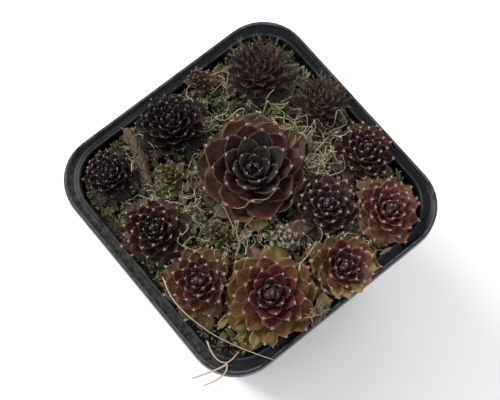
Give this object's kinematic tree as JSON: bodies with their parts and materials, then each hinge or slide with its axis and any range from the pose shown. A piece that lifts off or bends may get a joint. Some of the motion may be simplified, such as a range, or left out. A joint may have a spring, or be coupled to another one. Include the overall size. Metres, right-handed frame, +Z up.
{
  "type": "potted hens and chicks",
  "caption": "Hens and chicks: a large succulent rosette among its small hairy offsets, in a square tapered plastic nursery pot with a flanged rim.",
  "frame": {"origin": "centre of the pot's foot, on the surface that it stands on", "axes": "+Z up, +X and +Y square to the pot's sides; the front corner, where bare potting mix shows, is at -X -Y"},
  "size_m": [0.09, 0.09, 0.0938],
  "materials": {
    "pot_plastic": "black semi-matt moulded plastic",
    "potting_mix": "dark peat with bark crumbs and fibres",
    "hen_leaves": "fleshy leaf, dark purple centre to red-brown and olive outer leaves, hairy edge",
    "chick_leaves": "fleshy leaf, crimson centre to olive outer leaves, hairy edge",
    "pup_leaves": "fleshy leaf, pale green with reddish tips, hairy edge",
    "dry_straw": "dry brown fibrous stalk"
  },
  "bodies": {
    "root": {"pot": "pot_plastic", "potting_mix": "potting_mix", "hen_rosette": "hen_leaves", "chick_01": "chick_leaves", "chick_02": "chick_leaves", "chick_03": "chick_leaves", "chick_04": "chick_leaves", "chick_05": "chick_leaves", "chick_06": "chick_leaves", "chick_07": "chick_leaves", "chick_08": "chick_leaves", "chick_09": "chick_leaves", "chick_10": "chick_leaves", "chick_11": "chick_leaves", "pup_01": "pup_leaves", "pup_02": "pup_leaves", "pup_03": "pup_leaves", "pup_04": "pup_leaves", "dry_stalk": "dry_straw"}
  },
  "joints": []
}
